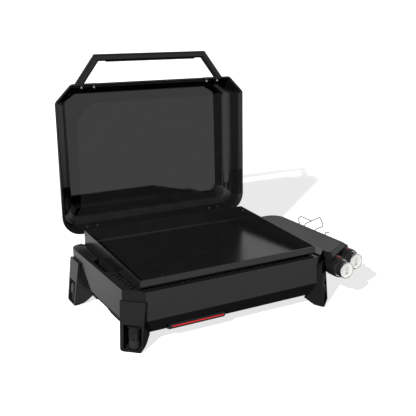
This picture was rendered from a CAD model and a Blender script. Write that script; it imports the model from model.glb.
"""Tabletop griddle: camera, light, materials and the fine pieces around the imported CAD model."""
import math

import bpy
import bmesh
from mathutils import Matrix, Vector


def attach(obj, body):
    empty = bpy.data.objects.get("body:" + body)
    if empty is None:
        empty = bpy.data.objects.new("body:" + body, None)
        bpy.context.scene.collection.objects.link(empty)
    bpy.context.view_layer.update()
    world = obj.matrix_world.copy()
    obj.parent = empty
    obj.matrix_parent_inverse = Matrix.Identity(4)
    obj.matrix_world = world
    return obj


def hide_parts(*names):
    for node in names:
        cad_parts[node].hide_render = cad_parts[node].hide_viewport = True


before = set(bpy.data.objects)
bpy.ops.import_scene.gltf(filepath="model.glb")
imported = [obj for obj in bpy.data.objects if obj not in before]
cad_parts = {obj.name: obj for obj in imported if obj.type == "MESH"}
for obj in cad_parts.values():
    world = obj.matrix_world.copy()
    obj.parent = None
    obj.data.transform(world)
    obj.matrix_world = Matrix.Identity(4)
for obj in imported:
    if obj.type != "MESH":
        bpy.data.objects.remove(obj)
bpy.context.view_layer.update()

# The CAD source is drawn about the firebox, in millimetres; the frame's origin lies here in it
FRAME_X, FRAME_Y = 55.3, 58.7
# The middle of the plate and the lid, in the source
PLATE_X = -5


def at(x, y, z):
    """A point of the CAD source, in metres in the frame."""
    return Vector(((x - FRAME_X) / 1000, (y - FRAME_Y) / 1000, z / 1000))


# ---------------------------------------------------------------- camera
# Solved from the photo: turn and tilt, place in metres, and focal length in the photo's pixels
YAW, PITCH = math.radians(29.44), math.radians(15.69)
CAMERA_PLACE = (-1.0140, -1.8099, 0.8550)
FOCAL_PIXELS, IMAGE_PIXELS = 703.2, 416
SENSOR = 36


def make_camera():
    data = bpy.data.cameras.new("camera")
    data.lens = FOCAL_PIXELS / IMAGE_PIXELS * SENSOR
    data.sensor_width = SENSOR
    data.clip_start = 0.05
    data.clip_end = 200
    cam = bpy.data.objects.new("camera", data)
    forward = Vector((math.sin(YAW) * math.cos(PITCH), math.cos(YAW) * math.cos(PITCH), -math.sin(PITCH)))
    right = Vector((math.cos(YAW), -math.sin(YAW), 0))
    up = right.cross(forward)
    turn = Matrix((right, up, -forward)).transposed()
    cam.matrix_world = Matrix.Translation(CAMERA_PLACE) @ turn.to_4x4()
    bpy.context.scene.collection.objects.link(cam)
    bpy.context.scene.camera = cam


make_camera()


# ---------------------------------------------------------------- shader nodes
def node(tree, kind, inputs=None, **settings):
    """A shader node with its settings; each input takes a value, or the output of another node."""
    made = tree.nodes.new(f"ShaderNode{kind}")
    for name, value in settings.items():
        setattr(made, name, value)
    for name, value in (inputs or {}).items():
        if isinstance(value, bpy.types.NodeSocket):
            tree.links.new(value, made.inputs[name])
        else:
            made.inputs[name].default_value = value
    return made


def colour_ramp(tree, along, marks):
    """A ramp over a value, through the given places and their colours."""
    made = node(tree, "ValToRGB", {"Fac": along})
    elements = made.color_ramp.elements
    elements.remove(elements[-1])
    for i, (place, colour) in enumerate(marks):
        mark = elements.new(place) if i else elements[0]
        mark.position = place
        mark.color = colour
    return made.outputs["Color"]


# ---------------------------------------------------------------- materials
# The noise textures stay within these values almost everywhere
NOISE_LOW, NOISE_HIGH = 0.3, 0.7
# Agreement of the true and the softened normal where wear starts and where it is full
WEAR_START, WEAR_FULL = 0.99, 0.85


def shade(colour, k):
    """A colour made darker or lighter by a factor."""
    return tuple(min(1.0, max(0.0, c * k)) for c in colour) + (1.0,)


def material(name, colour, rough=0.5, metal=0.0, specular=0.5, spread=0.08, mottle=22, grain=1100, bump=0.12,
             depth=0.0002, edge=0.0008, wear=0.3, worn=1.9, stretch=None, rough_spread=0.06):
    """A procedural finish: colour drift, fine relief, uneven gloss, softened edges and some wear along them."""
    m = bpy.data.materials.new(name)
    m.use_nodes = True
    t = m.node_tree
    bsdf = t.nodes["Principled BSDF"]
    bsdf.inputs["Metallic"].default_value = metal
    bsdf.inputs["Specular IOR Level"].default_value = specular

    where = node(t, "TexCoord").outputs["Object"]
    drift = node(t, "TexNoise", {"Vector": where, "Scale": mottle, "Detail": 5}).outputs["Fac"]
    tint = colour_ramp(t, drift, [(NOISE_LOW, shade(colour, 1 - spread)),
                                  (NOISE_HIGH, shade(colour, 1 + spread))])

    if stretch:
        where = node(t, "Mapping", {"Vector": where, "Scale": stretch}).outputs["Vector"]
    fine = node(t, "TexNoise", {"Vector": where, "Scale": grain, "Detail": 3}).outputs["Fac"]
    gloss = node(t, "MapRange", {"Value": fine, "From Min": NOISE_LOW, "From Max": NOISE_HIGH,
                                 "To Min": max(0.02, rough - rough_spread), "To Max": rough + rough_spread})
    t.links.new(gloss.outputs["Result"], bsdf.inputs["Roughness"])

    soft = node(t, "Bevel", {"Radius": edge}, samples=6).outputs["Normal"]
    relief = node(t, "Bump", {"Height": fine, "Normal": soft, "Strength": bump, "Distance": depth})
    t.links.new(relief.outputs["Normal"], bsdf.inputs["Normal"])

    # Wear: where the softened normal leaves the true one, broken up by the colour drift
    true = node(t, "NewGeometry").outputs["Normal"]
    agree = node(t, "VectorMath", {0: soft, 1: true}, operation="DOT_PRODUCT").outputs["Value"]
    rim = node(t, "MapRange", {"Value": agree, "From Min": WEAR_START, "From Max": WEAR_FULL, "To Max": wear})
    patchy = node(t, "Math", {0: rim.outputs["Result"], 1: drift}, operation="MULTIPLY").outputs["Value"]
    mix = node(t, "Mix", {"Factor": patchy, "A": tint, "B": shade(colour, worn)}, data_type="RGBA")
    t.links.new(mix.outputs["Result"], bsdf.inputs["Base Color"])
    return m


BLACK = (0.0045, 0.0045, 0.0048)
RUBBER = (0.010, 0.010, 0.0105)

# Each finish is named after its slot
FINISHES = {
    "body_sheet": dict(colour=BLACK, rough=0.28, grain=1600, specular=0.42),
    "cast_plate": dict(colour=(0.0035, 0.0035, 0.0036), rough=0.2, bump=0.1, grain=900, spread=0.15),
    "moulded_body": dict(colour=BLACK, rough=0.27, grain=1300, edge=0.0012),
    "moulded_shelf": dict(colour=BLACK, rough=0.35, grain=1300, edge=0.0012, specular=0.3),
    "shelf_top": dict(colour=(0.026, 0.026, 0.0265), rough=0.45, bump=0.3, grain=700, specular=0.1),
    "thumbwheel": dict(colour=RUBBER, rough=0.5, bump=0.3, specular=0.25),
    "foot_rubber": dict(colour=RUBBER, rough=0.7, bump=0.4, grain=700),
    "rack_wire": dict(colour=(0.42, 0.42, 0.40), rough=0.25, metal=1.0, bump=0.05, edge=0.0002),
    "trim_red": dict(colour=(0.27, 0.007, 0.008), rough=0.4, bump=0.1, worn=1.3),
    "bezel_black": dict(colour=(0.0060, 0.0060, 0.0062), rough=0.22, bump=0.08),
    "valve_brass": dict(colour=(0.62, 0.45, 0.20), rough=0.32, metal=1.0, bump=0.1, edge=0.0004),
    "steel_part": dict(colour=(0.50, 0.50, 0.49), rough=0.35, metal=1.0, bump=0.1, edge=0.0004),
    "knob_body": dict(colour=(0.0070, 0.0070, 0.0072), rough=0.33, bump=0.15, specular=0.7),
    "knob_cap": dict(colour=(0.42, 0.417, 0.405), rough=0.35, bump=0.06, grain=1500, spread=0.02, worn=1.1,
                     edge=0.0006),
    "chrome_trim": dict(colour=(0.80, 0.80, 0.80), rough=0.10, metal=1.0, bump=0.02, rough_spread=0.03,
                        spread=0.03, worn=1.1, edge=0.0004),
    "regulator_cast": dict(colour=(0.42, 0.42, 0.41), rough=0.45, metal=0.9, bump=0.35, grain=600),
    "burner_steel": dict(colour=(0.40, 0.38, 0.35), rough=0.35, metal=1.0, bump=0.15, spread=0.2),
    "ceramic": dict(colour=(0.80, 0.78, 0.72), rough=0.3, bump=0.05, worn=1.05),
    "tray_steel": dict(colour=(0.006, 0.007, 0.0075), rough=0.25, bump=0.15, specular=0.08),
    "pan_alu": dict(colour=(0.62, 0.62, 0.61), rough=0.38, metal=1.0, bump=0.15, stretch=(1, 12, 1)),
    "lid_enamel": dict(colour=(0.0030, 0.0030, 0.0032), rough=0.035, bump=0.02, grain=180, depth=0.0004,
                       rough_spread=0.015, spread=0.15, wear=0.15, edge=0.0006),
    "handle_black": dict(colour=BLACK, rough=0.25, bump=0.08, edge=0.0015, specular=0.22),
    "grip_rubber": dict(colour=(0.0090, 0.0090, 0.0095), rough=0.6, bump=0.3),
    "hinge_steel": dict(colour=(0.05, 0.05, 0.052), rough=0.4, metal=0.5, bump=0.15),
    # These two aren't slots: they vary the finish of one
    "leg_plastic": dict(colour=BLACK, rough=0.3, grain=1300, edge=0.0012, specular=0.35),
    "mark_grey": dict(colour=(0.10, 0.10, 0.10), bump=0.1, edge=0.0001),
}
mats = {name: material(name, **finish) for name, finish in FINISHES.items()}

CORNERS = ("front_left", "front_right", "rear_left", "rear_right")
WEARS = {
    "body_sheet": ["firebox", "tray_rails", "hinge_brackets"],
    "cast_plate": ["griddle_plate"],
    "moulded_body": ["left_end_cap", "right_end_cap"],
    "leg_plastic": [f"leg_{corner}" for corner in CORNERS],
    "moulded_shelf": ["shelf_housing"],
    "shelf_top": ["shelf_panel"],
    "thumbwheel": [f"wheel_{corner}" for corner in CORNERS],
    "foot_rubber": [f"foot_{corner}" for corner in CORNERS],
    "rack_wire": ["wire_rack"],
    "trim_red": ["index_marks", "tray_strip"],
    "bezel_black": ["bezel_1", "bezel_2"],
    "valve_brass": ["valve_1", "valve_2", "valve_plug_1", "valve_plug_2"],
    "steel_part": ["stem_1", "stem_2", "manifold", "supply_tubes", "burner_bracket", "hinge_pins",
                   "handle_bolts", "hinge_bolts"],
    "chrome_trim": ["knob_ring_1", "knob_ring_2"],
    "knob_body": ["knob_1", "knob_2"],
    "knob_cap": ["knob_face_1", "knob_face_2"],
    "regulator_cast": ["regulator"],
    "burner_steel": ["burner_1", "burner_2"],
    "ceramic": ["electrodes"],
    "tray_steel": ["tray_frame"],
    "pan_alu": ["drip_pan"],
    "lid_enamel": ["lid_shell"],
    "handle_black": ["lid_handle"],
    "grip_rubber": ["grip_strip"],
    "hinge_steel": ["lid_hinges"],
}
for finish, names in WEARS.items():
    for name in names:
        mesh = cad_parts[name].data
        mesh.materials.clear()
        mesh.materials.append(mats[finish])

SHARP = math.radians(38)


def piece(name, bm, slot, body, finish=None):
    """A finished mesh piece on a body, in its slot's material or in a finish that varies it."""
    mesh = bpy.data.meshes.new(name)
    bmesh.ops.recalc_face_normals(bm, faces=bm.faces)
    bm.to_mesh(mesh)
    bm.free()
    mesh.materials.append(mats[finish or slot])
    mesh.shade_smooth()
    mesh.set_sharp_from_angle(angle=SHARP)
    obj = bpy.data.objects.new(name, mesh)
    bpy.context.scene.collection.objects.link(obj)
    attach(obj, body)
    return obj


def skin(bm, rows):
    """Faces between rows of vertices, each row a closed loop."""
    for a, b in zip(rows, rows[1:]):
        for i in range(len(a)):
            j = (i + 1) % len(a)
            bm.faces.new((a[i], b[i], b[j], a[j]))


# ---------------------------------------------------------------- lid
LID_W, LID_L, SHEET = 654, 464, 1.6
LID_BACK, LID_Z = 232, 164.6
DEPTH, DEPTH_BACK = 99, 90
HINGE_Y, HINGE_Z, OPEN = 257, 156.35, math.radians(91.7)
# Each depth's insets at the sides, in front and behind
STEPS = [(0, 0, 0, 0), (10, 5, 5, 4), (13, 9, 7, 6), (52, 18, 19, 17), (56, 21, 21, 20), (60, 27, 26, 27),
         (64, 41, 32, 39), (68, 44, 33, 42), (88, 55, 35, 55), (99, 60, 37, 61)]
# Further insets that divide the flat top
TOP_INSETS = (6, 24, 60)
# The rim is rolled inwards: depths and insets round the roll
ROLL = [(1.2, 0.55), (0.35, 0.9), (0.0, 1.8), (0.0, 4.2), (0.3, 5.2), (1.1, 5.8), (2.0, 5.7), (2.7, 4.8),
        (3.0, 3.6), (3.6, 2.9)]
# Inside the wall, the rings start above the roll
ROLL_TOP = 5
# The front corners are cut off and the rear ones round; both shrink by these shares towards the top
CUT, CUT_SHRINK_X, CUT_SHRINK_Y, CUT_MIN = 52, 0.3, 0.66, 20
REAR_R, REAR_SHRINK, REAR_MIN = 62, 0.6, 6
NOSE_R = 14
NOSE_PARTS, REAR_PARTS, RUN_PARTS = 6, 16, 5


def opened(x, y, z):
    """A point of the closed lid, in millimetres of the source, turned open, in the frame."""
    dy, dz = y - HINGE_Y, z - HINGE_Z
    return at(x + PLATE_X, HINGE_Y + dy * math.cos(OPEN) + dz * math.sin(OPEN),
              HINGE_Z - dy * math.sin(OPEN) + dz * math.cos(OPEN))


def rounded(points, ratio=0.25, times=2):
    """Corner cutting that keeps the ends of an open line of points."""
    for _ in range(times):
        out = [points[0]]
        for a, b in zip(points, points[1:]):
            out.append(tuple(p + (q - p) * ratio for p, q in zip(a, b)))
            out.append(tuple(p + (q - p) * (1 - ratio) for p, q in zip(a, b)))
        points = out + [points[-1]]
    return points


def fillet(p, before, after, r, parts):
    """Points of a round corner of radius r at p."""
    a, b = (before - p).normalized(), (after - p).normalized()
    half = a.angle(b) / 2
    reach = r / math.tan(half)
    start, end = p + a * reach, p + b * reach
    centre = p + (a + b).normalized() * (r / math.sin(half))
    first = start - centre
    turn = first.angle_signed(end - centre)
    return [centre + Matrix.Rotation(-turn * i / parts, 2) @ first for i in range(parts + 1)]


def lid_outline(side, front, back, cut_x, cut_y, rear_r):
    """One closed ring of the lid in plan: cut front corners, round rear ones, long runs divided."""
    x, y0, y1 = LID_W / 2 - side, LID_BACK - LID_L + front, LID_BACK - back
    corners = [(-x, y0 + cut_y), (-x + cut_x, y0), (x - cut_x, y0), (x, y0 + cut_y), (x, y1), (-x, y1)]
    loop = [Vector(c) for c in corners]
    radii = [NOSE_R] * 4 + [rear_r] * 2
    parts = [NOSE_PARTS] * 4 + [REAR_PARTS] * 2
    out = []
    for i, p in enumerate(loop):
        arc = fillet(p, loop[i - 1], loop[(i + 1) % len(loop)], radii[i], parts[i])
        if out:
            out += [out[-1].lerp(arc[0], j / RUN_PARTS) for j in range(1, RUN_PARTS)]
        out += arc
    out += [out[-1].lerp(out[0], j / RUN_PARTS) for j in range(1, RUN_PARTS)]
    return out


def lid_height(depth, y):
    """The height of a depth of the lid, which slopes a little from back to front."""
    return LID_Z + depth * (DEPTH_BACK + (DEPTH - DEPTH_BACK) * (LID_BACK - y) / LID_L) / DEPTH


def lid_ring(step, inset=0.0, drop=0.0):
    """One ring of a step of the lid, set further in and down, in the frame."""
    depth, side, front, back = step
    k = depth / DEPTH
    plan = lid_outline(side + inset, front + inset, back + inset,
                       max(CUT_MIN, CUT * (1 - CUT_SHRINK_X * k) - inset / 2),
                       max(CUT_MIN, CUT * (1 - CUT_SHRINK_Y * k) - inset / 2),
                       max(REAR_MIN, REAR_R * (1 - REAR_SHRINK * k) - inset))
    return [opened(v.x, v.y, lid_height(depth, v.y) - drop) for v in plan]


def make_lid():
    """The pressed lid: outside from the top down, round the rolled rim and back up inside."""
    top = STEPS[-1]
    steps = rounded(STEPS)
    rings = [lid_ring(top, inset) for inset in reversed(TOP_INSETS)]
    rings += [lid_ring(step) for step in reversed(steps[1:])]
    rings += [lid_ring((depth, 0, 0, 0), inset) for depth, inset in ROLL]
    # The sheet's thickness lies across the wall low down and below the top high up
    rings += [lid_ring(step, SHEET, SHEET * min(1, step[0] / DEPTH) ** 6)
              for step in steps if step[0] > ROLL_TOP]
    rings += [lid_ring(top, inset + SHEET, SHEET) for inset in TOP_INSETS]
    bm = bmesh.new()
    rows = [[bm.verts.new(v) for v in ring] for ring in rings]
    skin(bm, rows)
    bm.faces.new(rows[0])
    bm.faces.new(list(reversed(rows[-1])))
    lid = piece("lid_pressing", bm, "lid_enamel", "lid")
    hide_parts("lid_shell")


make_lid()


# ---------------------------------------------------------------- turned and small pieces
def turned(bm, profile, origin, along, turns=96):
    """A closed profile of (radius, distance) turned about the direction along from origin, in millimetres."""
    along = Vector(along).normalized()
    u = along.orthogonal().normalized()
    v = along.cross(u)
    rows = []
    for i in range(turns):
        a = 2 * math.pi * i / turns
        out = u * math.cos(a) + v * math.sin(a)
        rows.append([bm.verts.new(at(*(Vector(origin) + out * r + along * d))) for r, d in profile])
    skin(bm, rows + rows[:1])
    bmesh.ops.remove_doubles(bm, verts=bm.verts, dist=1e-7)


def prism(bm, outline, y0, y1):
    """A flat outline of (x, z) points, made solid between two places along y."""
    rows = [[bm.verts.new(at(x, y, z)) for x, z in outline] for y in (y0, y1)]
    bm.faces.new(rows[0])
    bm.faces.new(list(reversed(rows[1])))
    skin(bm, rows)


AXIS_R = 0.001
KNOB_POS = ((354, -232), (428.6, -186))
KNOB_Z, KNOB_BACK = 117, 22
KNOB_FRONT = (0, -1, 0)
# Profiles of (radius, distance in front of the knob)
FACE = [(AXIS_R, 0), (22.4, 0), (22.4, 4.6), (21.9, 4.95), (21, 5.0), (19.5, 4.7), (15, 4.35), (8, 4.15),
        (AXIS_R, 4.1)]
RIM = [(22.5, 0.3), (22.5, 4.9), (22.75, 5.3), (23.3, 5.48), (23.9, 5.4), (24.5, 4.9), (24.85, 4.1),
       (24.95, 3.2), (24.95, 0.9), (24.7, 0.3)]
MARK_LOW, MARK_TOP = 4.0, 4.5
RING = [(3.6, MARK_LOW), (3.6, 4.4), (3.75, MARK_TOP), (4.65, MARK_TOP), (4.8, 4.4), (4.8, MARK_LOW)]
RING_RISE = 5.5
# Each bar's height from the knob's middle and half its length
BARS = ((-3.2, 3.0), (-6.6, 4.6), (-10.0, 6.2))
BAR_H, BAR_FLARE = 1.5, 0.4


def make_knob_faces():
    """Each knob's pale, slightly dished face in a bright rim, with a plain ring and bars on it."""
    for i, (x, y) in enumerate(KNOB_POS, 1):
        front = y - KNOB_BACK
        bm = bmesh.new()
        turned(bm, FACE, (x, front, KNOB_Z), KNOB_FRONT)
        face = piece(f"control_face_{i}", bm, "knob_cap", f"control_{i}")
        bm = bmesh.new()
        turned(bm, RIM, (x, front, KNOB_Z), KNOB_FRONT)
        piece(f"control_rim_{i}", bm, "chrome_trim", f"control_{i}")
        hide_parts(f"knob_face_{i}")
        bm = bmesh.new()
        turned(bm, RING, (x, front, KNOB_Z + RING_RISE), KNOB_FRONT, 48)
        for z, half in BARS:
            top, foot = KNOB_Z + z, half + BAR_FLARE
            prism(bm, [(x - half, top), (x + half, top), (x + foot, top - BAR_H), (x - foot, top - BAR_H)],
                  front - MARK_TOP, front - MARK_LOW)
        piece(f"control_mark_{i}", bm, "knob_cap", f"control_{i}", finish="mark_grey")


make_knob_faces()

# The plate's grease hole
DRAIN = (PLATE_X - 190, -150, 169)
DRAIN_LIP = [(4.7, -0.3), (4.7, 0.15), (4.85, 0.28), (5.2, 0.3), (5.45, 0.2), (5.5, 0.02), (5.1, 0.02),
             (5.1, -0.3)]


def make_drain_rim():
    """The bright lip of the plate's grease hole."""
    bm = bmesh.new()
    turned(bm, DRAIN_LIP, DRAIN, (0, 0, 1), 48)
    piece("drain_lip", bm, "cast_plate", "base", finish="steel_part")


make_drain_rim()


# ---------------------------------------------------------------- floor and light
# The floor's radii and heights, in metres: flat, then rising into a far wall
FLOOR = ((0.5, 0), (6, 0), (30, 0), (42, 0.3), (47, 3), (48, 10), (48, 60))
FLOOR_TURNS = 96
# Radii between which the floor's own glow grows, and its strength at both
GLOW_NEAR, GLOW_FAR = (1.6, 0.76), (3.5, 1.3)


def make_floor():
    """A pale floor that rises into a far round wall and grows brighter towards it, so that no edge shows."""
    bm = bmesh.new()
    angles = [math.tau * i / FLOOR_TURNS for i in range(FLOOR_TURNS)]
    rows = [[bm.verts.new((r * math.cos(a), r * math.sin(a), z)) for a in angles] for r, z in FLOOR]
    bm.faces.new(rows[0])
    skin(bm, rows)
    mesh = bpy.data.meshes.new("floor")
    bm.to_mesh(mesh)
    bm.free()
    floor = bpy.data.objects.new("floor", mesh)
    bpy.context.scene.collection.objects.link(floor)
    m = bpy.data.materials.new("floor_white")
    m.use_nodes = True
    t = m.node_tree
    b = t.nodes["Principled BSDF"]
    b.inputs["Base Color"].default_value = (0.3, 0.3, 0.3, 1)
    b.inputs["Roughness"].default_value = 0.9
    b.inputs["Specular IOR Level"].default_value = 0.0
    b.inputs["Emission Color"].default_value = (1, 1, 1, 1)
    where = node(t, "TexCoord").outputs["Object"]
    far = node(t, "VectorMath", {0: where}, operation="LENGTH").outputs["Value"]
    glow = node(t, "MapRange", {"Value": far, "From Min": GLOW_NEAR[0], "From Max": GLOW_FAR[0],
                                "To Min": GLOW_NEAR[1], "To Max": GLOW_FAR[1]})
    t.links.new(glow.outputs["Result"], b.inputs["Emission Strength"])
    mesh.materials.append(m)
    # The object is lit by the room alone, and the floor only carries its shadow
    floor.visible_diffuse = False
    floor.visible_glossy = False


# Brightness of the room by height, from straight down at -1 to straight up at 1, all round and in front
AROUND = [(-1, 0.04), (-0.6, 0.06), (-0.26, 0.14), (-0.2, 0.45), (-0.11, 1.25), (0.12, 1.25), (0.3, 0.95),
          (0.5, 0.6), (0.8, 0.2)]
IN_FRONT = [(-1, 0.08), (-0.8, 0.14), (-0.6, 0.34), (-0.42, 0.72), (-0.3, 0.88), (-0.18, 1.03), (0.02, 1.05),
            (0.15, 0.45), (0.35, 0.2), (0.8, 0.15)]
ROOM = 1.25
# The bright front: its middle, right of straight ahead, and how far from it it starts to fade and ends
FRONT, FRONT_FULL, FRONT_END = (math.radians(a) for a in (12, 24, 42))
# Everywhere else: the room's brightness on the right and on the left, and between which cosines it changes
LEFT, LEFT_FADE = math.radians(-5), (-0.6, 0.9)
RIGHT_SHARE, LEFT_SHARE = 0.65, 0.58
# Behind on the left the room stays bright further down, by this share of its height
BEHIND, BEHIND_FADE = math.radians(40), (0.4, 0.75)
BEHIND_LIFT = 0.13

KEY_PLACE = (-3200, -2600, 2700)
KEY_POWER, KEY_SIZE = 3400, 0.05


def leftwards(angle):
    """The level direction to the left, turned towards the back by an angle."""
    return (-math.cos(angle), math.sin(angle), 0)


def fade(tree, level, towards, cosines, values=(0, 1)):
    """A value that goes smoothly from one to another as a level direction turns towards a given one."""
    facing = node(tree, "VectorMath", {0: level, 1: towards}, operation="DOT_PRODUCT").outputs["Value"]
    return node(tree, "MapRange", {"Value": facing, "From Min": cosines[0], "From Max": cosines[1],
                                   "To Min": values[0], "To Max": values[1]},
                interpolation_type="SMOOTHSTEP").outputs["Result"]


def by_height(tree, height, marks):
    """A brightness ramp over the height of a direction, as a share of the room's strength."""
    return colour_ramp(tree, height, [((z + 1) / 2, (bright / ROOM,) * 3 + (1,)) for z, bright in marks])


def make_light():
    """A white room, dark below the horizon except in front, and one key lamp in front on the left."""
    world = bpy.data.worlds.new("studio")
    bpy.context.scene.world = world
    world.use_nodes = True
    t = world.node_tree
    where = node(t, "TexCoord").outputs["Generated"]
    up = node(t, "SeparateXYZ", {"Vector": where}).outputs["Z"]
    height = node(t, "MapRange", {"Value": up, "From Min": -1}).outputs["Result"]
    flat = node(t, "VectorMath", {0: where, 1: (1, 1, 0)}, operation="MULTIPLY").outputs["Vector"]
    level = node(t, "VectorMath", {0: flat}, operation="NORMALIZE").outputs["Vector"]

    ahead = (math.sin(FRONT), -math.cos(FRONT), 0)
    in_front = fade(t, level, ahead, (math.cos(FRONT_END), math.cos(FRONT_FULL)))
    share = fade(t, level, leftwards(LEFT), LEFT_FADE, (RIGHT_SHARE, LEFT_SHARE))
    lift = fade(t, level, leftwards(BEHIND), BEHIND_FADE, (0, BEHIND_LIFT))
    raised = node(t, "Math", {0: height, 1: lift}, operation="ADD").outputs["Value"]
    around = node(t, "VectorMath", {0: by_height(t, raised, AROUND), "Scale": share}, operation="SCALE")
    mix = node(t, "Mix", {"Factor": in_front, "A": around.outputs["Vector"],
                          "B": by_height(t, height, IN_FRONT)}, data_type="RGBA")
    background = t.nodes["Background"]
    t.links.new(mix.outputs["Result"], background.inputs["Color"])
    background.inputs["Strength"].default_value = ROOM

    lamp = bpy.data.lights.new("key", "POINT")
    lamp.energy = KEY_POWER
    lamp.shadow_soft_size = KEY_SIZE
    key = bpy.data.objects.new("key", lamp)
    key.location = at(*KEY_PLACE)
    key.visible_glossy = False
    bpy.context.scene.collection.objects.link(key)
    bpy.context.scene.view_settings.view_transform = "Standard"


make_floor()
make_light()
